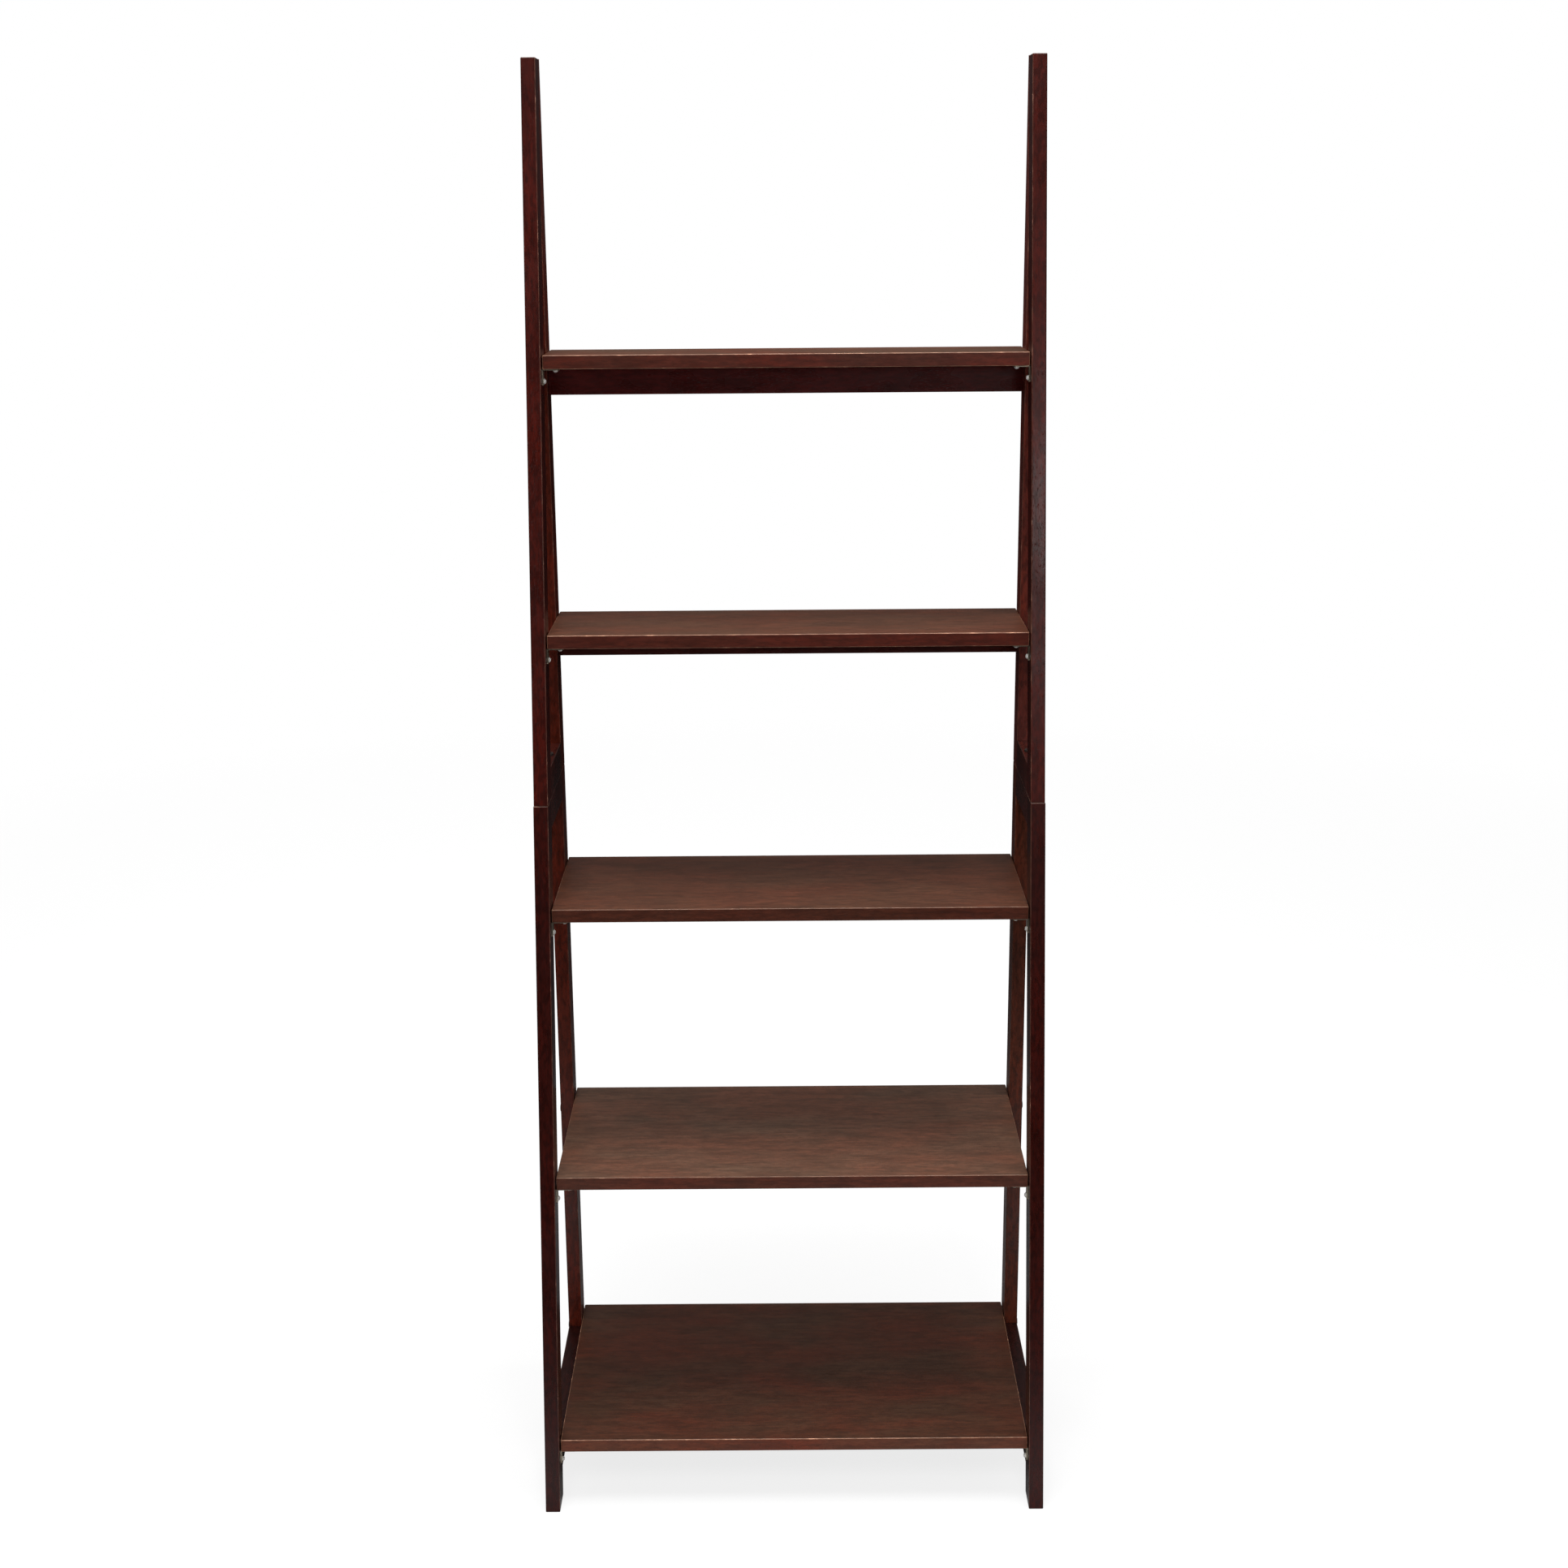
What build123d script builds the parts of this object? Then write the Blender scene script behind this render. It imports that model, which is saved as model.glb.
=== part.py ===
from build123d import *

import os
from collections import defaultdict
from math import atan, cos

# Five-tier ladder shelf: two leaning side frames, five boards and the fittings that hold them.
# Millimetres. X runs left to right, Y front to back, Z up.
# The origin is on the floor, in the middle of the footprint.

# ---- Overall size ----
HEIGHT = 1778.0
DEPTH = 362.0
CLEAR_WIDTH = 596.0          # between the inner faces of the two side frames
TOP_SETBACK = 318.0          # how far the front leg has leaned back when it reaches the top

# ---- Side frames: sawn stock, glued up as an upper and a lower half ----
STOCK_DEPTH = 38.0           # every leg and rail is this wide, seen from the side
STOCK = {"lower": 18.4,      # thickness of each half; the upper one is planed a little thinner,
         "upper": 17.8}      # so the joint shows a step
JOINT_Z = HEIGHT / 2         # where the upper half stands on the lower half
BASE_RAIL_Z = 38.0           # underside of the base rail above the floor
EASE = 1.3                   # rounding on the edges of the stock and the boards

# ---- Boards and back rails ----
TIERS = ["bottom", "lower", "middle", "upper", "top"]
FIRST_TOP = 88.0             # top face of the bottom board
PITCH = 335.5                # from one board to the next
BOARD_T = 17.0
BOARD_GAP = 1.0              # play between a board's end and the side frame
BOARD_SETBACK = 9.0          # board's front edge behind the front of the leg
RAIL_T = 18.0                # back rail, front to back
RAIL_H = 38.0                # back rail, top to bottom

# ---- Angle brackets under the front corners of each board ----
BRACKET_W = 12.0
BRACKET_T = 1.5
BRACKET_RUN = 21.0           # arm under the board
BRACKET_DROP = 20.0          # arm down the leg
BRACKET_BACK = 9.0           # bracket's middle behind the board's front edge
BRACKET_CORNER = 3.5         # rounding of the arms' free corners
SCREW_RUN = 16.0             # screw under the board, from the leg
SCREW_DROP = 15.0            # screw in the leg, below the board

# ---- Fasteners ----
SCREW_R = 1.7
SCREW_L = 14.0
SCREW_TIP = 4.0
SCREW_HEAD_R = 3.2
SCREW_HEAD_H = 2.6
SCREW_CROWN = 1.5
RECESS_L = 3.4               # cross recess, across its arms
RECESS_W = 0.8
RECESS_DEPTH = 1.4
BRACKET_HOLE_R = 2.1
PILOT_R = 1.75
PILOT_DEPTH = 13.5
BOLT_R = 2.95
BOLT_HOLE_R = 3.25
BOLT_HEAD_R = 6.0
BOLT_HEAD_H = 3.6
BOLT_CROWN = 2.16
SOCKET_R = 2.3               # hexagon socket, to its corners
SOCKET_DEPTH = 2.0
BOLT_HOLE_SPARE = 3.0        # hole past the bolt's end
FRAME_BOLT_L = 50.0
RAIL_BOLT_L = 50.0
RAIL_BOLT_DROP = 9.0         # bolt below the back rail's top edge
RAIL_DOWEL_RISE = 9.0        # dowel above the back rail's bottom edge
NUT_R = 5.0
NUT_L = 14.0
NUT_INSET = 25.0             # barrel nut from the back rail's end
NUT_SLOT = 1.2
NUT_BEVEL = 0.5
NUT_HOLE_DEPTH = 16.5        # from the back face of the rail
INSERT_R = 5.0
INSERT_L = 13.0
DOWEL_R = 4.0
SNUG_FIT = 0.05              # room round a dowel, an insert or a thread
NUT_FIT = 0.1                # room round a barrel nut
DOWEL_BEVEL = 0.8
DOWEL_L = 30.0
DOWEL_IN_LEG = 12.0          # the rest of the dowel is in the rail
LEG_DOWEL_L = 40.0
SCARF_DOWEL_DROPS = (130.0, 75.0)    # below the top of the side frame
BOARD_DOWEL_X = 200.0
BOARD_DOWEL_UP = 12.0        # part of the dowel that stands into the board

LEAN = TOP_SETBACK / HEIGHT
FRONT_LEG_DEPTH = STOCK_DEPTH / cos(atan(LEAN))
FRONT_Y = -DEPTH / 2
BACK_Y = DEPTH / 2
REAR_LEG_Y = BACK_Y - STOCK_DEPTH
INNER_X = CLEAR_WIDTH / 2
HANDS = ((-1, "left"), (1, "right"))
HALVES = (("lower", 0, JOINT_Z), ("upper", JOINT_Z, HEIGHT))

nodes = {}
holes = defaultdict(list)


def leg_front(z):
    """Y of the front leg's front face at height z."""
    return FRONT_Y + LEAN * z


def leg_back(z):
    """Y of the front leg's back face at height z."""
    return leg_front(z) + FRONT_LEG_DEPTH


def board_top(tier):
    return FIRST_TOP + PITCH * tier


def board_front(tier):
    return leg_front(board_top(tier)) + BOARD_SETBACK


def half_of(tier):
    """Which half of the side frame carries a board."""
    return "upper" if board_top(tier) > JOINT_Z else "lower"


def rod(start, direction, radius, length):
    """Plain round bar from a point along a direction."""
    base = Plane(origin=start, z_dir=direction)
    return extrude(base * Circle(radius), amount=length)


# ---- Side frames ----

def frame_piece(outline, side, thickness, eased):
    """Board of a side frame: its Y-Z outline, inner face on the clear width, chosen edges eased."""
    face = Plane.YZ.offset(side * INNER_X) * Polygon(*outline, align=None)
    piece = extrude(face, amount=thickness, dir=(side, 0, 0))
    return fillet(eased(piece), EASE)


def front_leg(side, thickness, z0, z1):
    outline = [(leg_front(z0), z0), (leg_back(z0), z0), (leg_back(z1), z1), (leg_front(z1), z1)]
    return frame_piece(outline, side, thickness, lambda leg: leg.edges())


def lower_rear_leg(side):
    outline = [(REAR_LEG_Y, 0), (BACK_Y, 0), (BACK_Y, JOINT_Z), (REAR_LEG_Y, JOINT_Z)]
    return frame_piece(outline, side, STOCK["lower"], lambda leg: leg.edges())


def upper_rear_leg(side):
    """Its upper end is cut to the slope of the front leg and glued behind it, with sharp edges."""
    scarf_z = (REAR_LEG_Y - FRONT_Y - FRONT_LEG_DEPTH) / LEAN
    outline = [(REAR_LEG_Y, JOINT_Z), (BACK_Y, JOINT_Z), (BACK_Y, HEIGHT), (leg_back(HEIGHT), HEIGHT),
               (REAR_LEG_Y, scarf_z)]
    return frame_piece(outline, side, STOCK["upper"],
                       lambda leg: leg.edges().filter_by(Axis.Z) + leg.faces().sort_by(Axis.Z)[0].edges())


def side_rail(side, thickness, z0):
    """Rail between the front and rear legs; its front end is cut to the lean of the leg."""
    z1 = z0 + STOCK_DEPTH
    outline = [(leg_back(z0), z0), (REAR_LEG_Y, z0), (REAR_LEG_Y, z1), (leg_back(z1), z1)]
    return frame_piece(outline, side, thickness, lambda rail: rail.edges().filter_by(Axis.Y))


def dowel(start, direction, length, first, second):
    """Fluteless beech pin, and the hole that it needs in the two pieces that it joins."""
    for name in (first, second):
        holes[name].append(rod(start, direction, DOWEL_R + SNUG_FIT, length))
    pin = rod(start, direction, DOWEL_R, length)
    return chamfer(pin.edges().filter_by(GeomType.CIRCLE), DOWEL_BEVEL)


def rail_dowels(side, thickness, z0, rail, front, rear):
    """Two pins in each end of a side rail."""
    x = side * (INNER_X + thickness / 2)
    pins = []
    for z in (z0 + STOCK_DEPTH / 4, z0 + STOCK_DEPTH * 3 / 4):
        in_front = (x, leg_back(z) - DOWEL_IN_LEG, z)
        at_rear = (x, REAR_LEG_Y + DOWEL_IN_LEG - DOWEL_L, z)
        pins.append(dowel(in_front, (0, 1, 0), DOWEL_L, front, rail))
        pins.append(dowel(at_rear, (0, 1, 0), DOWEL_L, rear, rail))
    return pins


def scarf_dowels(side, front, rear):
    """Two pins across the long glued joint at the top of the side frame."""
    x = side * (INNER_X + STOCK["upper"] / 2)
    pins = []
    for drop in SCARF_DOWEL_DROPS:
        z = HEIGHT - drop
        start = (x, leg_back(z) + DOWEL_IN_LEG - DOWEL_L, z)
        pins.append(dowel(start, (0, 1, 0), DOWEL_L, front, rear))
    return pins


def joint_dowels(side, hand):
    """Pins that keep the legs of the two halves in line."""
    x = side * (INNER_X + STOCK["upper"] / 2)
    z = JOINT_Z - LEG_DOWEL_L / 2
    middles = {"front": leg_front(JOINT_Z) + FRONT_LEG_DEPTH / 2, "rear": REAR_LEG_Y + STOCK_DEPTH / 2}
    pins = []
    for leg, y in middles.items():
        pins.append(dowel((x, y, z), (0, 0, 1), LEG_DOWEL_L, f"{hand}_upper_{leg}_leg",
                          f"{hand}_lower_{leg}_leg"))
    return pins


def side_frame(side, hand):
    for half, z0, z1 in HALVES:
        thickness = STOCK[half]
        front = f"{hand}_{half}_front_leg"
        rear = f"{hand}_{half}_rear_leg"
        joint_rail = f"{hand}_{half}_joint_rail"
        joint_rail_z = z0 if half == "upper" else z1 - STOCK_DEPTH
        nodes[front] = [front_leg(side, thickness, z0, z1)]
        nodes[rear] = [lower_rear_leg(side) if half == "lower" else upper_rear_leg(side)]
        nodes[joint_rail] = [side_rail(side, thickness, joint_rail_z)]
        pins = rail_dowels(side, thickness, joint_rail_z, joint_rail, front, rear)
        if half == "lower":
            base_rail = f"{hand}_base_rail"
            nodes[base_rail] = [side_rail(side, thickness, BASE_RAIL_Z)]
            pins += rail_dowels(side, thickness, BASE_RAIL_Z, base_rail, front, rear)
        else:
            pins += scarf_dowels(side, front, rear)
        nodes[f"{hand}_{half}_frame_dowels"] = pins
    nodes[f"{hand}_joint_dowels"] = joint_dowels(side, hand)


# ---- Boards and back rails ----

def board(tier):
    """Flat shelf board with every edge eased."""
    top = board_top(tier)
    width = CLEAR_WIDTH - 2 * BOARD_GAP
    depth = BACK_Y - board_front(tier)
    middle = (0, board_front(tier) + depth / 2, top - BOARD_T / 2)
    panel = Pos(*middle) * Box(width, depth, BOARD_T)
    return fillet(panel.edges(), EASE)


def back_rail(tier):
    """Rail under the board's rear edge, flush with the backs of the legs."""
    top = board_top(tier) - BOARD_T
    rail = Pos(0, BACK_Y - RAIL_T / 2, top - RAIL_H / 2) * Box(CLEAR_WIDTH, RAIL_T, RAIL_H)
    return fillet(rail.edges().filter_by(Axis.X), EASE)


def board_dowels(tier):
    top = board_top(tier) - BOARD_T
    y = BACK_Y - RAIL_T / 2
    return [dowel((x, y, top + BOARD_DOWEL_UP - DOWEL_L), (0, 0, 1), DOWEL_L, f"{TIERS[tier]}_shelf",
                  f"{TIERS[tier]}_back_rail") for x in (-BOARD_DOWEL_X, BOARD_DOWEL_X)]


def back_rail_dowels(tier):
    z = board_top(tier) - BOARD_T - RAIL_H + RAIL_DOWEL_RISE
    y = BACK_Y - RAIL_T / 2
    pins = []
    for side, hand in HANDS:
        start = (side * (INNER_X + DOWEL_IN_LEG - DOWEL_L), y, z)
        pins.append(dowel(start, (side, 0, 0), DOWEL_L, f"{hand}_{half_of(tier)}_rear_leg",
                          f"{TIERS[tier]}_back_rail"))
    return pins


# ---- Metal fittings ----

def domed_head(seat, radius, height, crown):
    """Round head standing back from a seat plane, with its outer rim rounded over."""
    head = seat * Pos(0, 0, -height / 2) * Cylinder(radius, height)
    rims = head.edges().filter_by(GeomType.CIRCLE)
    outer_rim = rims.sort_by(lambda rim: (rim.center() - seat.origin).dot(seat.z_dir))[0]
    return fillet(outer_rim, crown)


def button_bolt(start, direction, length):
    """Bolt with a domed head and a hexagon socket; start is the point under its head."""
    seat = Plane(origin=start, z_dir=direction)
    head = domed_head(seat, BOLT_HEAD_R, BOLT_HEAD_H, BOLT_CROWN)
    head -= extrude(seat.offset(-BOLT_HEAD_H) * RegularPolygon(SOCKET_R, 6), amount=SOCKET_DEPTH)
    return head + rod(start, direction, BOLT_R, length)


def wood_screw(start, direction):
    """Pan-head screw with a cross recess; start is the point under its head."""
    outline = make_face(Polyline(
        (0, -SCREW_HEAD_H), (SCREW_HEAD_R - SCREW_CROWN, -SCREW_HEAD_H),
        (SCREW_HEAD_R, SCREW_CROWN - SCREW_HEAD_H), (SCREW_HEAD_R, 0),
        (SCREW_R, 0), (SCREW_R, SCREW_L - SCREW_TIP), (0, SCREW_L), (0, -SCREW_HEAD_H)))
    screw = revolve(Plane.XZ * outline, Axis.Z)
    recess = Rectangle(RECESS_L, RECESS_W) + Rectangle(RECESS_W, RECESS_L)
    screw -= extrude(Plane.XY.offset(-SCREW_HEAD_H) * recess, amount=RECESS_DEPTH)
    return Plane(origin=start, z_dir=direction) * screw


def angle_bracket(tier, side):
    """Bent steel angle with rounded arms and a screw hole in each."""
    under = board_top(tier) - BOARD_T
    y = board_front(tier) + BRACKET_BACK
    run_middle = (side * (INNER_X - BRACKET_RUN / 2), y, under - BRACKET_T / 2)
    drop_middle = (side * (INNER_X - BRACKET_T / 2), y, under - BRACKET_DROP / 2)
    run = Pos(*run_middle) * Box(BRACKET_RUN, BRACKET_W, BRACKET_T)
    angle = run + Pos(*drop_middle) * Box(BRACKET_T, BRACKET_W, BRACKET_DROP)
    bend = angle.edges().filter_by(Axis.Y)
    outer = bend.sort_by(lambda e: side * e.center().X + e.center().Z)[-1]
    angle = fillet(outer, BRACKET_T)
    arm_tips = angle.edges().filter_by(Axis.Z).sort_by(lambda e: side * e.center().X)[:2]
    arm_tips += angle.edges().filter_by(Axis.X).sort_by(Axis.Z)[:2]
    angle = fillet(arm_tips, BRACKET_CORNER)
    angle -= rod((side * (INNER_X - SCREW_RUN), y, under - BRACKET_T), (0, 0, 1), BRACKET_HOLE_R, BRACKET_T)
    angle -= rod((side * (INNER_X - BRACKET_T), y, under - SCREW_DROP), (side, 0, 0), BRACKET_HOLE_R,
                 BRACKET_T)
    return angle


def bracket_screws(tier, side, hand):
    """One screw up into the board and one out into the leg, with their pilot holes."""
    under = board_top(tier) - BOARD_T
    y = board_front(tier) + BRACKET_BACK
    up = ((side * (INNER_X - SCREW_RUN), y, under - BRACKET_T), (0, 0, 1))
    out = ((side * (INNER_X - BRACKET_T), y, under - SCREW_DROP), (side, 0, 0))
    holes[f"{TIERS[tier]}_shelf"].append(rod(*up, PILOT_R, PILOT_DEPTH + BRACKET_T))
    holes[f"{hand}_{half_of(tier)}_front_leg"].append(rod(*out, PILOT_R, PILOT_DEPTH + BRACKET_T))
    return [wood_screw(*up), wood_screw(*out)]


def back_rail_bolt(tier, side, hand):
    """Bolt through the rear leg and the barrel nut across the rail that it draws up to."""
    half = half_of(tier)
    thickness = STOCK[half]
    z = board_top(tier) - BOARD_T - RAIL_BOLT_DROP
    y = BACK_Y - RAIL_T / 2
    start = (side * (INNER_X + thickness), y, z)
    inward = (-side, 0, 0)
    nut_x = side * (INNER_X - NUT_INSET)
    rail = f"{TIERS[tier]}_back_rail"
    holes[f"{hand}_{half}_rear_leg"].append(rod(start, inward, BOLT_HOLE_R, thickness))
    holes[rail].append(rod(start, inward, BOLT_HOLE_R, RAIL_BOLT_L + BOLT_HOLE_SPARE))
    holes[rail].append(rod((nut_x, BACK_Y, z), (0, -1, 0), NUT_R + NUT_FIT, NUT_HOLE_DEPTH))
    nut = rod((nut_x, y - NUT_L / 2, z), (0, 1, 0), NUT_R, NUT_L)
    nut = chamfer(nut.edges().filter_by(GeomType.CIRCLE), NUT_BEVEL)
    nut -= rod((nut_x + NUT_R, y, z), (-1, 0, 0), BOLT_R + SNUG_FIT, 2 * NUT_R)
    nut -= Pos(nut_x, y + NUT_L / 2, z) * Box(2 * NUT_R, 2 * NUT_SLOT, NUT_SLOT)
    return button_bolt(start, inward, RAIL_BOLT_L), nut


def frame_bolt(side, hand):
    """Bolt down through the upper joint rail into a threaded insert in the lower one."""
    x = side * (INNER_X + STOCK["upper"] / 2)
    y = (leg_back(JOINT_Z + STOCK_DEPTH) + REAR_LEG_Y) / 2
    start = (x, y, JOINT_Z + STOCK_DEPTH)
    mouth = (x, y, JOINT_Z)
    down = (0, 0, -1)
    holes[f"{hand}_upper_joint_rail"].append(rod(start, down, BOLT_HOLE_R, STOCK_DEPTH))
    lower_rail = f"{hand}_lower_joint_rail"
    holes[lower_rail].append(rod(start, down, BOLT_HOLE_R, FRAME_BOLT_L + BOLT_HOLE_SPARE))
    holes[lower_rail].append(rod(mouth, down, INSERT_R + SNUG_FIT, INSERT_L))
    insert = rod(mouth, down, INSERT_R, INSERT_L) - rod(mouth, down, BOLT_R + SNUG_FIT, INSERT_L)
    return button_bolt(start, down, FRAME_BOLT_L), insert


# ---- Assembly ----

for side, hand in HANDS:
    side_frame(side, hand)
    bolt, insert = frame_bolt(side, hand)
    nodes["frame_bolts"] = nodes.get("frame_bolts", []) + [bolt]
    nodes["frame_bolt_inserts"] = nodes.get("frame_bolt_inserts", []) + [insert]

for tier, name in enumerate(TIERS):
    nodes[f"{name}_shelf"] = [board(tier)]
    nodes[f"{name}_back_rail"] = [back_rail(tier)]
    nodes[f"{name}_shelf_dowels"] = board_dowels(tier) + back_rail_dowels(tier)
    nodes[f"{name}_bracket_screws"] = []
    for side, hand in HANDS:
        nodes[f"{name}_{hand}_bracket"] = [angle_bracket(tier, side)]
        nodes[f"{name}_bracket_screws"] += bracket_screws(tier, side, hand)
        bolt, nut = back_rail_bolt(tier, side, hand)
        nodes["back_rail_bolts"] = nodes.get("back_rail_bolts", []) + [bolt]
        nodes["back_rail_barrel_nuts"] = nodes.get("back_rail_barrel_nuts", []) + [nut]

os.makedirs("parts", exist_ok=True)
for name, solids in nodes.items():
    if holes[name]:
        solids = [solids[0] - holes[name]]
    export_step(solids[0] if len(solids) == 1 else Compound(children=solids), f"parts/{name}.step")
print(len(nodes), "nodes,", sum(len(solids) for solids in nodes.values()), "pieces")
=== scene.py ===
from math import atan, cos, sin

import bpy
from mathutils import Matrix, Vector

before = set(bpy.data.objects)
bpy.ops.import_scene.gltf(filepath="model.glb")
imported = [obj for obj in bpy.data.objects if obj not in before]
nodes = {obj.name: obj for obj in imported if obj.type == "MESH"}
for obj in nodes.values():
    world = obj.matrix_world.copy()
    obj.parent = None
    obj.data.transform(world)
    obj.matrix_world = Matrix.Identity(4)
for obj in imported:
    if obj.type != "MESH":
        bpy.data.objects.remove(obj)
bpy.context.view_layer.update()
scene = bpy.context.scene

# ---- camera: as high as a standing person's eyes, straight in front, tilted down ----

SENSOR = 36.0
FOCAL = 47.82
SHIFT_UP = -0.0173
EYE = Vector((-0.0014, -2.4897, 1.6149))
YAW, PITCH, ROLL = -0.0019, 0.2630, 0.0079
CLIP_START, CLIP_END = 0.05, 200.0


def photo_camera():
    forward = Vector((sin(YAW) * cos(PITCH), cos(YAW) * cos(PITCH), -sin(PITCH)))
    level = Vector((cos(YAW), -sin(YAW), 0.0))
    down = forward.cross(level)
    right = cos(ROLL) * level + sin(ROLL) * down
    up = sin(ROLL) * level - cos(ROLL) * down
    lens = bpy.data.cameras.new("camera")
    lens.sensor_width = SENSOR
    lens.lens = FOCAL
    lens.shift_y = SHIFT_UP
    lens.clip_start = CLIP_START
    lens.clip_end = CLIP_END
    camera = bpy.data.objects.new("camera", lens)
    scene.collection.objects.link(camera)
    camera.matrix_world = Matrix.Translation(EYE) @ Matrix((right, up, -forward)).transposed().to_4x4()
    return camera


scene.camera = photo_camera()
scene.view_settings.view_transform = "Standard"


# ---- node helpers ----

def add(tree, kind, settings=None, **inputs):
    """Adds a node. An input given as a socket is linked, and anything else is set as its value."""
    made = tree.nodes.new(kind)
    for key, value in (settings or {}).items():
        setattr(made, key, value)
    for key, value in inputs.items():
        fill(tree, made.inputs[key.replace("_", " ")], value)
    return made


def fill(tree, socket, value):
    if isinstance(value, bpy.types.NodeSocket):
        tree.links.new(value, socket)
    elif value is not None:
        socket.default_value = value


def math(tree, operation, a, b=None, c=None, clamp=False):
    made = tree.nodes.new("ShaderNodeMath")
    made.operation = operation
    made.use_clamp = clamp
    for slot, value in zip(made.inputs, (a, b, c)):
        fill(tree, slot, value)
    return made.outputs[0]


def mix(tree, factor, a, b, kind="MIX"):
    """A colour mix. Colours are given as three numbers or as sockets."""
    made = tree.nodes.new("ShaderNodeMix")
    made.data_type = "RGBA"
    made.blend_type = kind
    made.clamp_factor = True
    ends = [v if isinstance(v, bpy.types.NodeSocket) else (*v, 1.0) for v in (a, b)]
    fill(tree, made.inputs[0], factor)
    fill(tree, made.inputs[6], ends[0])
    fill(tree, made.inputs[7], ends[1])
    return made.outputs[2]


def ramp(tree, value, low, high, to_low=0.0, to_high=1.0):
    """Maps low..high to to_low..to_high, clamped."""
    made = add(tree, "ShaderNodeMapRange", Value=value, From_Min=low, From_Max=high,
               To_Min=to_low, To_Max=to_high)
    made.clamp = True
    return made.outputs["Result"]


def noise(tree, vector, scale, detail=3.0, roughness=0.55, distortion=0.0):
    return add(tree, "ShaderNodeTexNoise", Vector=vector, Scale=scale, Detail=detail,
               Roughness=roughness, Distortion=distortion).outputs["Fac"]


def fresh(name):
    """A new material with only an output, and its Principled shader."""
    material = bpy.data.materials.new(name)
    material.use_nodes = True
    tree = material.node_tree
    tree.nodes.clear()
    shader = add(tree, "ShaderNodeBsdfPrincipled")
    out = add(tree, "ShaderNodeOutputMaterial")
    tree.links.new(shader.outputs[0], out.inputs["Surface"])
    return material, tree, shader


def grain_space(tree, turn, stretch, offset):
    """Row-frame metres, turned to the timber and squeezed along its grain."""
    place = add(tree, "ShaderNodeTexCoord").outputs["Object"]
    return add(tree, "ShaderNodeMapping", {"vector_type": "TEXTURE"}, Vector=place,
               Location=offset, Rotation=turn, Scale=stretch).outputs[0]


def surface_facing(tree):
    return add(tree, "ShaderNodeNewGeometry").outputs["Normal"]


ARRIS_START, ARRIS_FULL = 0.03, 0.16     # how far a face turns from every axis before it is an arris


def arris_mask(tree, turn):
    """1 on the rounded arrises, which face between the piece's own axes, and 0 on its flats."""
    facing = surface_facing(tree)
    if any(turn):
        facing = add(tree, "ShaderNodeVectorRotate", {"rotation_type": "X_AXIS"}, Vector=facing,
                     Angle=-turn[0]).outputs[0]
    size = add(tree, "ShaderNodeVectorMath", {"operation": "ABSOLUTE"}, Vector=facing).outputs[0]
    parts = add(tree, "ShaderNodeSeparateXYZ", Vector=size).outputs
    most = math(tree, "MAXIMUM", math(tree, "MAXIMUM", parts["X"], parts["Y"]), parts["Z"])
    return ramp(tree, most, 1.0 - ARRIS_START, 1.0 - ARRIS_FULL)


# ---- timber ----

TOP_SETBACK, HEIGHT = 318.0, 1778.0      # of the front legs, in millimetres
UPRIGHT = (0.0, 0.0, 0.0)
LEANING = (-atan(TOP_SETBACK / HEIGHT), 0.0, 0.0)
X, Y, Z = 0, 1, 2

# How far a pattern is drawn out along the grain.
STRETCHES = {"long": 10.0, "mid": 5.0, "broad": 2.5}

# A pattern is its noise: scale, detail, roughness and distortion.
PATCHES = (14.0, 3.0, 0.55)
PATCH_SPAN = (0.38, 0.62)
PORES = (1500.0, 1.0, 0.5)
PORE_SPAN = (0.60, 0.72)
PORE_DARK, PORE_ROUGH, PORE_DEPTH = 0.6, 0.10, -0.7
CHIPS = (130.0, 3.0, 0.7)
# The least rub leaves a pale line along every arris: partly real wear, partly a painted highlight.
RUB_AND_HIGHLIGHT_SPAN = (0.40, 0.62)
CHIPPED_SPAN = (0.60, 0.68)
LEAST_WEAR_AND_HIGHLIGHT = 0.4
CHIP_BRIGHTER = 1.9
GLOSS_CLOUD = (40.0, 2.0, 0.5)
CLOUD_SPAN = (0.3, 0.7)
GLOSS_SPREAD = 0.05
STRAND_DEPTH = 0.6
GRAIN_DEPTH = 0.00025
LACQUER_IOR = 1.45
UPRIGHT_SPAN = (0.75, 0.45)              # of a face's Z, from flat to upright
# Arrises that face out from the shelf are kept dark and unrubbed: painted shade.
OUTER_SPAN = (0.2, 0.6)                  # of a face's X, away from the middle of the shelf
OUTER_PAINTED_SHADE = 0.9

# Darker marks over the stain: their space, noise, span and strength. The finish sets the mottle's.
MARKS = {"clouds": ("mid", (42.0, 3.0, 0.6, 0.4), (0.42, 0.68), 0.25),
         "bands": ("mid", (130.0, 4.0, 0.62, 0.4), (0.46, 0.60), 0.42),
         "strands": ("long", (260.0, 3.0, 0.6, 0.3), (0.46, 0.60), 0.40),
         "fibres": ("long", (800.0, 2.0, 0.6), (0.50, 0.68), 0.40),
         "mottle": ("broad", (210.0, 2.0, 0.6), (0.47, 0.60), None)}


def stained(tree, spaces, tones, finish):
    """The stain's colour on flat wood, with the strands and the pores that the relief needs too."""
    red, brown, dark = tones[:3]
    spread = 0.5 * finish["patch"]
    patches = noise(tree, spaces["broad"], *PATCHES)
    stain = mix(tree, ramp(tree, patches, *PATCH_SPAN, 0.5 - spread, 0.5 + spread), brown, red)
    drawn = {}
    for mark, (space, pattern, span, strength) in MARKS.items():
        drawn[mark] = noise(tree, spaces[space], *pattern)
        most = finish["mottle"] if strength is None else strength * finish["grain"]
        stain = mix(tree, ramp(tree, drawn[mark], *span, 0.0, most), stain, dark)
    pores = ramp(tree, noise(tree, spaces["long"], *PORES), *PORE_SPAN)
    stain = mix(tree, math(tree, "MULTIPLY", pores, PORE_DARK), stain, dark)
    return stain, drawn["strands"], pores


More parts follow.
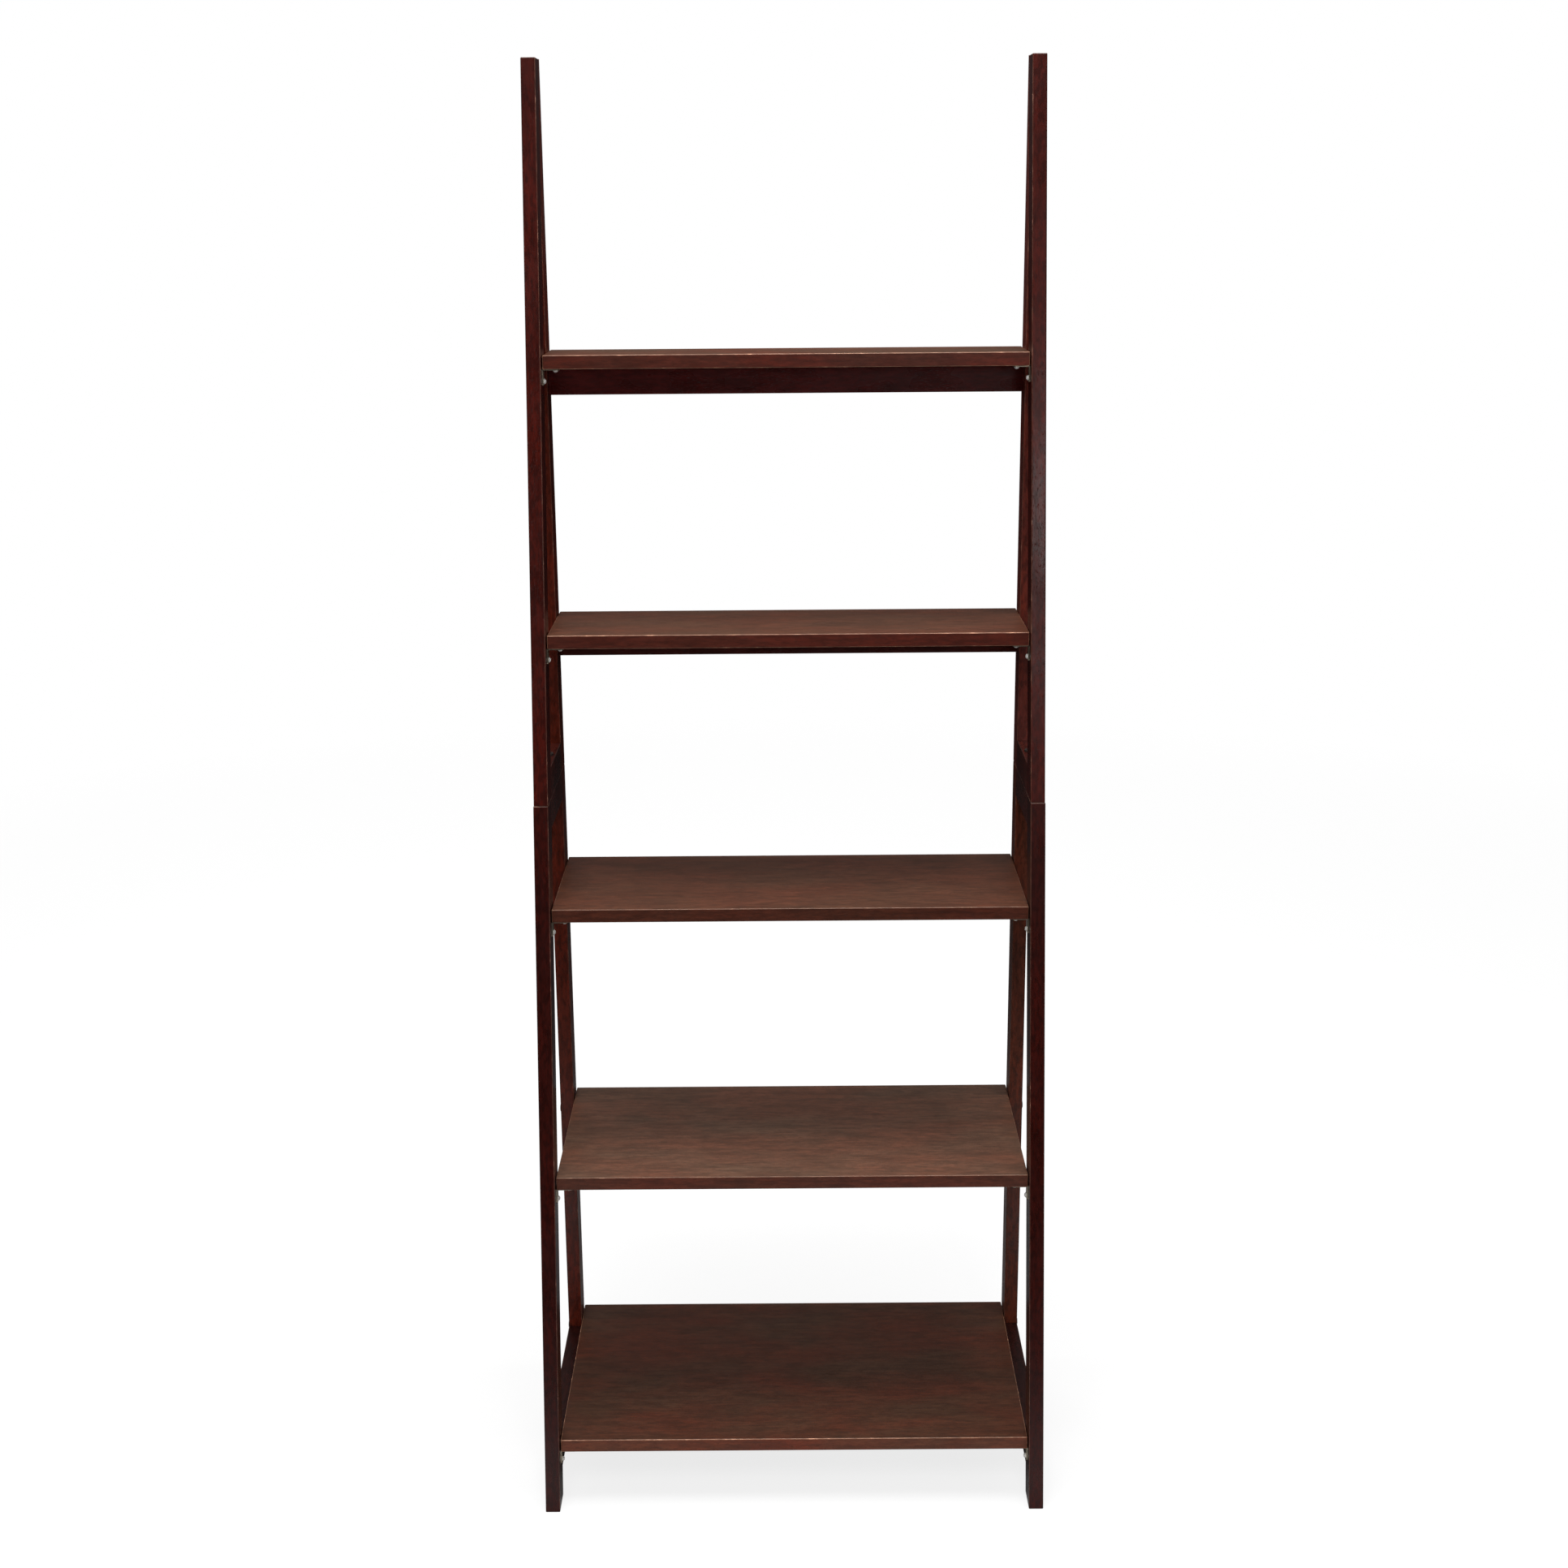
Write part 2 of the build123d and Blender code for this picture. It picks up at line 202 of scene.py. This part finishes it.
def edge_wear_and_painted_light(tree, stain, broad, turn, tones, finish):
    """Paints shade on the arrises on the shelf's outside, and on the others a pale rubbed line with
    chips, partly real wear and partly a painted highlight.
    """
    dark, rubbed_and_highlit = tones[2:4]
    arris = arris_mask(tree, turn)
    across = add(tree, "ShaderNodeSeparateXYZ", Vector=surface_facing(tree)).outputs["X"]
    outward = ramp(tree, math(tree, "MULTIPLY", across, finish["outside"]), *OUTER_SPAN)
    shaded_outside = math(tree, "MULTIPLY", arris, math(tree, "MULTIPLY", outward, OUTER_PAINTED_SHADE))
    stain = mix(tree, shaded_outside, stain, dark)
    arris = math(tree, "MULTIPLY", arris, math(tree, "SUBTRACT", 1.0, outward))
    chips = noise(tree, broad, *CHIPS)
    wear_and_highlight = finish["wear_and_highlight"]
    rub_and_highlight = math(tree, "MULTIPLY", arris, ramp(tree, chips, *RUB_AND_HIGHLIGHT_SPAN, LEAST_WEAR_AND_HIGHLIGHT * wear_and_highlight, wear_and_highlight))
    stain = mix(tree, rub_and_highlight, stain, rubbed_and_highlit)
    chipped = math(tree, "MULTIPLY", arris, ramp(tree, chips, *CHIPPED_SPAN, 0.0, wear_and_highlight))
    return mix(tree, chipped, stain, tuple(min(1.0, CHIP_BRIGHTER * c) for c in rubbed_and_highlit))


def wood(name, turn, along, offset, tones, finish):
    """Stained timber under a satin lacquer.

    along is the axis of the grain after the turn. tones are the stain's red, brown, dark and
    rubbed colours, the rubbed one partly real wear and partly a painted arris highlight, and
    what multiplies it on upright faces as painted light and shade, or None. finish has the
    roughness, the depth of the grain (relief), the wear and painted highlight on the arrises,
    the shine, how strong the grain and the mottle are, how far red and brown part (patch), and
    the sign of X on the piece's outer side, whose arrises get painted shade, or 0."""
    material, tree, shader = fresh(name)
    spaces = {}
    for space, stretch in STRETCHES.items():
        squeeze = [1.0, 1.0, 1.0]
        squeeze[along] = stretch
        spaces[space] = grain_space(tree, turn, squeeze, offset)

    stain, strands, pores = stained(tree, spaces, tones, finish)
    # Upright faces get their own multiplier, apart from the tops: painted light and shade.
    upright_shading = tones[4]
    if upright_shading:
        flat = add(tree, "ShaderNodeSeparateXYZ", Vector=surface_facing(tree)).outputs["Z"]
        stain = mix(tree, ramp(tree, math(tree, "ABSOLUTE", flat), *UPRIGHT_SPAN), stain,
                    mix(tree, 1.0, stain, upright_shading, "MULTIPLY"))
    fill(tree, shader.inputs["Base Color"], edge_wear_and_painted_light(tree, stain, spaces["broad"], turn, tones, finish))

    cloud = noise(tree, spaces["broad"], *GLOSS_CLOUD)
    rough = ramp(tree, cloud, *CLOUD_SPAN, finish["rough"] - GLOSS_SPREAD, finish["rough"] + GLOSS_SPREAD)
    rough = math(tree, "ADD", rough, math(tree, "MULTIPLY", pores, PORE_ROUGH))
    fill(tree, shader.inputs["Roughness"], rough)

    height = math(tree, "MULTIPLY_ADD", strands, STRAND_DEPTH, math(tree, "MULTIPLY", pores, PORE_DEPTH))
    bump = add(tree, "ShaderNodeBump", Strength=finish["relief"], Distance=GRAIN_DEPTH, Height=height)
    fill(tree, shader.inputs["Normal"], bump.outputs[0])
    shader.inputs["IOR"].default_value = LACQUER_IOR
    shader.inputs["Specular IOR Level"].default_value = finish["shine"]
    return material


# Each holds red, brown and dark stain, the rubbed colour of the arrises (partly wear, partly a painted
# highlight) and the multiplier that paints light and shade on upright faces.
SHELF_TONES = ((0.166, 0.044, 0.021), (0.122, 0.057, 0.031), (0.048, 0.020, 0.011),
               (0.46, 0.24, 0.15), (0.85, 0.60, 0.60))
FRAME_TONES = ((0.078, 0.0060, 0.0026), (0.058, 0.0060, 0.0034), (0.018, 0.0022, 0.0013),
               (0.20, 0.10, 0.07), None)
SHELF_FINISH = {"rough": 0.38, "relief": 0.35, "wear_and_highlight": 0.90, "shine": 0.35, "grain": 0.9,
                "mottle": 0.25, "patch": 1.0}
FRAME_FINISH = {"rough": 0.29, "relief": 0.30, "wear_and_highlight": 0.65, "shine": 0.35, "grain": 0.8,
                "mottle": 0.6, "patch": 1.0}
RAIL_FINISH = {**FRAME_FINISH, "mottle": 0.25}

# Settings chosen piece by piece to follow the photograph's tones.
# The scales and tints below paint into each piece's stain the light, shade and sheen that fall on it
# there, together with its own colour.
PIECE_LIGHT_AND_SHADE = {"top_shelf": 0.80, "upper_shelf": 0.82, "middle_shelf": 0.78, "lower_shelf": 1.06,
               "bottom_shelf": 0.60, "upper_front_leg": 0.88, "lower_front_leg": 0.60,
               "upper_rear_leg": 1.9, "lower_rear_leg": 1.8, "base_rail": 0.6,
               "lower_joint_rail": 1.25, "upper_joint_rail": 1.25, "top_back_rail": 1.5}
PIECE_LIGHT_TINT = {"lower_shelf": (0.97, 1.22, 1.40), "bottom_shelf": (0.95, 0.88, 0.85),
        "top_back_rail": (1.0, 0.3, 0.3), "base_rail": (0.7, 1.5, 2.0),
        "lower_joint_rail": (0.9, 1.8, 2.4), "upper_joint_rail": (0.9, 1.8, 2.4),
        "lower_rear_leg": (1.0, 1.5, 1.3), "upper_rear_leg": (1.0, 1.3, 1.0),
        "right_lower_rear_leg": (1.0, 2.4, 2.2), "right_upper_rear_leg": (1.3, 2.8, 3.8)}
# How strong each piece's rubbed line is, which is wear and a painted arris highlight.
ARRIS_HIGHLIGHT_AND_RUB = {"middle_shelf": 0.5, "lower_shelf": 0.55, "lower_joint_rail": 0.35, "upper_joint_rail": 0.35}
PATCH = {"upper_shelf": 0.5, "middle_shelf": 0.4, "lower_shelf": 0.5}
# Per shelf, the multiplier on its upright faces: painted light and shade on the edges apart from the top.
UPRIGHT_FACE_LIGHT_AND_SHADE = {"top_shelf": (0.88, 0.50, 0.54), "upper_shelf": (0.84, 0.42, 0.44),
           "lower_shelf": (0.80, 0.46, 0.42), "bottom_shelf": (2.10, 1.60, 1.42)}
OUTSIDE = {"left": -1.0, "right": 1.0}


def setting(table, name, plain):
    """A node's entry in a table, by its own name or by its name without the side."""
    return table.get(name, table.get(name.split("_", 1)[1], plain))


def timber_for(name):
    """(turn, along, tones, finish) of a timber node, or None for anything else."""
    if name.endswith("front_leg"):
        return LEANING, Z, FRAME_TONES, FRAME_FINISH
    if name.endswith("rear_leg"):
        return UPRIGHT, Z, FRAME_TONES, FRAME_FINISH
    if name.endswith("joint_rail") or name.endswith("base_rail"):
        return UPRIGHT, Y, FRAME_TONES, FRAME_FINISH
    if name.endswith("back_rail"):
        return UPRIGHT, X, FRAME_TONES, RAIL_FINISH
    if name.endswith("shelf"):
        return UPRIGHT, X, SHELF_TONES, SHELF_FINISH
    return None


def timber(name, index):
    """The wood of one timber node. Its index moves the grain, so that no two pieces match."""
    turn, along, tones, finish = timber_for(name)
    light_and_shade = setting(PIECE_LIGHT_AND_SHADE, name, 1.0)
    tint = setting(PIECE_LIGHT_TINT, name, (1.0, 1.0, 1.0))
    rub_and_highlight = setting(ARRIS_HIGHLIGHT_AND_RUB, name, 1.0)
    # The stain is scaled and tinted with the piece's painted light, shade and sheen.
    stains_with_painted_light = [tuple(light_and_shade * c * t for c, t in zip(tone, tint)) for tone in tones[:3]]
    tones = (*stains_with_painted_light, tuple(rub_and_highlight * c for c in tones[3]), setting(UPRIGHT_FACE_LIGHT_AND_SHADE, name, tones[4]))
    side = name.split("_")[0] if name.endswith("leg") else None
    finish = {**finish, "patch": setting(PATCH, name, finish["patch"]), "outside": OUTSIDE.get(side, 0.0)}
    offset = (0.37 * index, 0.23 * index + 0.011, 0.31 * index + 0.017)
    return wood(name + "_timber", turn, along, offset, tones, finish)


# ---- metal and bare wood ----

TARNISH = (260.0, 3.0, 0.6)
TARNISH_SPAN = (0.35, 0.65)
SPECKS = (1500.0, 2.0, 0.6)
SPECK_SPAN = (0.3, 0.7)
SMOOTHER, ROUGHER = 0.06, 0.08
EDGE_HIGHLIGHT_SHARE, EDGE_HIGHLIGHT_BRIGHTER = 0.4, 1.25
SCRATCH_DEPTH = 0.00005


def metal(name, colour, tint, rough, scratch, metallic):
    """Plated steel that varies from colour to tint, with a painted highlight on its arrises."""
    material, tree, shader = fresh(name)
    place = add(tree, "ShaderNodeTexCoord").outputs["Object"]
    tarnish = noise(tree, place, *TARNISH)
    specks = noise(tree, place, *SPECKS)
    base = mix(tree, ramp(tree, tarnish, *TARNISH_SPAN), colour, tint)
    # Painted highlight on the arrises.
    base = mix(tree, math(tree, "MULTIPLY", arris_mask(tree, UPRIGHT), EDGE_HIGHLIGHT_SHARE), base,
               tuple(min(1.0, c * EDGE_HIGHLIGHT_BRIGHTER) for c in colour))
    fill(tree, shader.inputs["Base Color"], base)
    fill(tree, shader.inputs["Roughness"],
         ramp(tree, specks, *SPECK_SPAN, rough - SMOOTHER, rough + ROUGHER))
    shader.inputs["Metallic"].default_value = metallic
    bump = add(tree, "ShaderNodeBump", Strength=scratch, Distance=SCRATCH_DEPTH, Height=specks)
    fill(tree, shader.inputs["Normal"], bump.outputs[0])
    return material


BEECH_STRETCH = 12.0
BEECH_PALE, BEECH_TAN, BEECH_FLECK = (0.62, 0.40, 0.22), (0.50, 0.30, 0.16), (0.34, 0.18, 0.09)
BEECH_STREAKS = (900.0, 3.0, 0.6)
STREAK_SPAN = (0.3, 0.7)
BEECH_FLECKS = (2400.0, 1.0, 0.5)
FLECK_SPAN, FLECK_STRENGTH = (0.58, 0.7), 0.5
BEECH_ROUGH = (0.55, 0.7)
BEECH_RELIEF, BEECH_DEPTH = 0.3, 0.0001


def beech(name, along):
    """Bare beech, for the dowels."""
    material, tree, shader = fresh(name)
    squeeze = [1.0, 1.0, 1.0]
    squeeze[along] = BEECH_STRETCH
    long = grain_space(tree, UPRIGHT, squeeze, (0.0, 0.0, 0.0))
    streaks = noise(tree, long, *BEECH_STREAKS)
    flecks = noise(tree, long, *BEECH_FLECKS)
    base = mix(tree, ramp(tree, streaks, *STREAK_SPAN), BEECH_PALE, BEECH_TAN)
    base = mix(tree, ramp(tree, flecks, *FLECK_SPAN, 0.0, FLECK_STRENGTH), base, BEECH_FLECK)
    fill(tree, shader.inputs["Base Color"], base)
    fill(tree, shader.inputs["Roughness"], ramp(tree, streaks, *STREAK_SPAN, *BEECH_ROUGH))
    bump = add(tree, "ShaderNodeBump", Strength=BEECH_RELIEF, Distance=BEECH_DEPTH, Height=streaks)
    fill(tree, shader.inputs["Normal"], bump.outputs[0])
    return material


# ---- a material for every node ----

plated = metal("bracket_plate", (0.56, 0.49, 0.38), (0.42, 0.36, 0.27), 0.34, 0.3, 0.9)
# The screws are near-white and little metallic, so that their heads show as glints even in the shade:
# pale plating with a painted glint.
screws = metal("screw_plate_glint", (1.0, 0.98, 0.92), (0.92, 0.89, 0.82), 0.30, 0.2, 0.35)
bolts = metal("bolt_steel_dark", (0.24, 0.20, 0.18), (0.16, 0.13, 0.12), 0.30, 0.3, 0.9)
pins = {axis: beech("beech_" + "xyz"[axis], axis) for axis in (X, Z)}


def material_for(name, index):
    if timber_for(name):
        return timber(name, index)
    if name.endswith("bracket"):
        return plated
    if name.endswith("bracket_screws"):
        return screws
    if name.endswith("joint_dowels"):
        return pins[Z]
    if name.endswith("dowels"):
        return pins[X]
    return bolts


for index, name in enumerate(sorted(nodes)):
    slots = nodes[name].data.materials
    if slots:
        slots[0] = material_for(name, index)
    else:
        slots.append(material_for(name, index))

# ---- floor, which fades into the white round it ----

WHITE = (1.0, 1.0, 1.0, 1.0)
FLOOR_HALF = 9.0
FLOOR_PALE = 0.95
FLOOR_GLOW = 0.8                         # share of its own light in what the camera sees of it
FLOOR_BOUNCE = 0.28                      # how pale it is for the light that it throws back
SHEEN_NEAR, SHEEN_UNDER, SHEEN_FAR = 0.6, 0.12, 0.04     # how pale the gloss of the wood sees it
SHEEN_REACH = (0.6, 1.2)                 # from the middle of the shelf, near to far
SHEEN_BACK = (-0.28, 0.0)                # from the front feet back to under the shelf
FADE_REACH = (1.2, 4.0)


def blend(tree, factor, first, second):
    made = add(tree, "ShaderNodeMixShader")
    fill(tree, made.inputs[0], factor)
    fill(tree, made.inputs[1], first.outputs[0])
    fill(tree, made.inputs[2], second.outputs[0])
    return made


def floor_paint():
    """Pale paper. It is partly self-lit for the camera and dimmer in the gloss of the wood."""
    material = bpy.data.materials.new("floor_paint")
    material.use_nodes = True
    tree = material.node_tree
    tree.nodes.clear()
    ray = add(tree, "ShaderNodeLightPath").outputs
    place = add(tree, "ShaderNodeTexCoord").outputs["Object"]
    reach = add(tree, "ShaderNodeVectorMath", {"operation": "LENGTH"})
    fill(tree, reach.inputs[0], place)
    reach = reach.outputs["Value"]
    back = add(tree, "ShaderNodeSeparateXYZ", Vector=place).outputs["Y"]
    sheen = math(tree, "MINIMUM", ramp(tree, reach, *SHEEN_REACH, SHEEN_NEAR, SHEEN_FAR),
                 ramp(tree, back, *SHEEN_BACK, SHEEN_NEAR, SHEEN_UNDER))
    matt = add(tree, "ShaderNodeBsdfDiffuse", Color=(*[FLOOR_PALE] * 3, 1.0))
    glow = add(tree, "ShaderNodeEmission", Color=WHITE, Strength=1.0)
    shown = blend(tree, FLOOR_GLOW, matt, glow)
    dull = add(tree, "ShaderNodeBsdfDiffuse",
               Color=mix(tree, ray["Is Glossy Ray"], [FLOOR_BOUNCE] * 3, sheen))
    paper = blend(tree, ray["Is Camera Ray"], dull, shown)
    clear = add(tree, "ShaderNodeBsdfTransparent")
    faded = blend(tree, ramp(tree, reach, *FADE_REACH), paper, clear)
    out = add(tree, "ShaderNodeOutputMaterial")
    tree.links.new(faded.outputs[0], out.inputs["Surface"])
    return material


corners = [(x * FLOOR_HALF, y * FLOOR_HALF, 0.0) for x, y in ((-1, -1), (1, -1), (1, 1), (-1, 1))]
floor_mesh = bpy.data.meshes.new("floor")
floor_mesh.from_pydata(corners, [], [(0, 1, 2, 3)])
floor = bpy.data.objects.new("floor", floor_mesh)
scene.collection.objects.link(floor)
floor_mesh.materials.append(floor_paint())

# ---- light ----

# The room by height, from straight down at 0 to straight up at 1, and how bright it is there.
ROOM_STOPS = ((0.47, 0.006), (0.54, 0.055), (0.66, 0.070), (0.76, 0.165), (0.95, 0.30))
CAMERA_WHITE = 1.0


def studio_world():
    """A dim room for the light and the reflections, and plain white for the camera."""
    world = bpy.data.worlds.new("studio")
    world.use_nodes = True
    tree = world.node_tree
    tree.nodes.clear()
    seen = add(tree, "ShaderNodeLightPath").outputs["Is Camera Ray"]
    way = add(tree, "ShaderNodeTexCoord").outputs["Generated"]
    height = add(tree, "ShaderNodeSeparateXYZ", Vector=way).outputs["Z"]
    room = add(tree, "ShaderNodeValToRGB", Fac=ramp(tree, height, -1.0, 1.0))
    stops = room.color_ramp.elements
    while len(stops) < len(ROOM_STOPS):
        stops.new(1.0)
    for stop, (position, bright) in zip(stops, ROOM_STOPS):
        stop.position = position
        stop.color = (bright, bright, bright, 1.0)
    strength = math(tree, "MAXIMUM", room.outputs["Color"], math(tree, "MULTIPLY", seen, CAMERA_WHITE))
    sky = add(tree, "ShaderNodeBackground", Color=WHITE, Strength=strength)
    out = add(tree, "ShaderNodeOutputWorld")
    tree.links.new(sky.outputs[0], out.inputs["Surface"])
    return world


scene.world = studio_world()

# Name, place, the point it is aimed at, width and height, watts, and whether the gloss shows it.
LAMPS = (("overhead", (0.05, -0.35, 4.2), (0.0, 0.0, 0.8), (2.6, 1.5), 134, True),
         ("panel_right", (0.72, -3.2, 1.86), (0.25, 0.0, 1.1), (0.45, 0.50), 5.6, True),
         ("front_fill", (-0.2, -3.0, 3.4), (0.0, 0.0, 0.8), (2.2, 1.2), 60, False),
         ("low_fill", (-0.2, -4.0, 0.8), (0.0, 0.0, 0.6), (2.4, 1.2), 19, False),
         ("back_fill", (-0.6, 3.2, 2.6), (0.0, 0.1, 0.9), (2.6, 1.8), 45, False),
         ("flank_fill", (-3.6, 0.3, 1.9), (0.0, 0.1, 0.8), (1.6, 2.0), 22, False),
         ("flank_fill", (3.6, 0.3, 1.9), (0.0, 0.1, 0.8), (1.6, 2.0), 22, False))


def softbox(name, place, target, size, watts, in_gloss):
    lamp = bpy.data.lights.new(name, "AREA")
    lamp.shape = "RECTANGLE"
    lamp.size, lamp.size_y = size
    lamp.energy = watts
    panel = bpy.data.objects.new(name, lamp)
    scene.collection.objects.link(panel)
    panel.location = place
    panel.rotation_euler = (Vector(target) - Vector(place)).to_track_quat("-Z", "Y").to_euler()
    panel.visible_glossy = in_gloss


for lamp in LAMPS:
    softbox(*lamp)
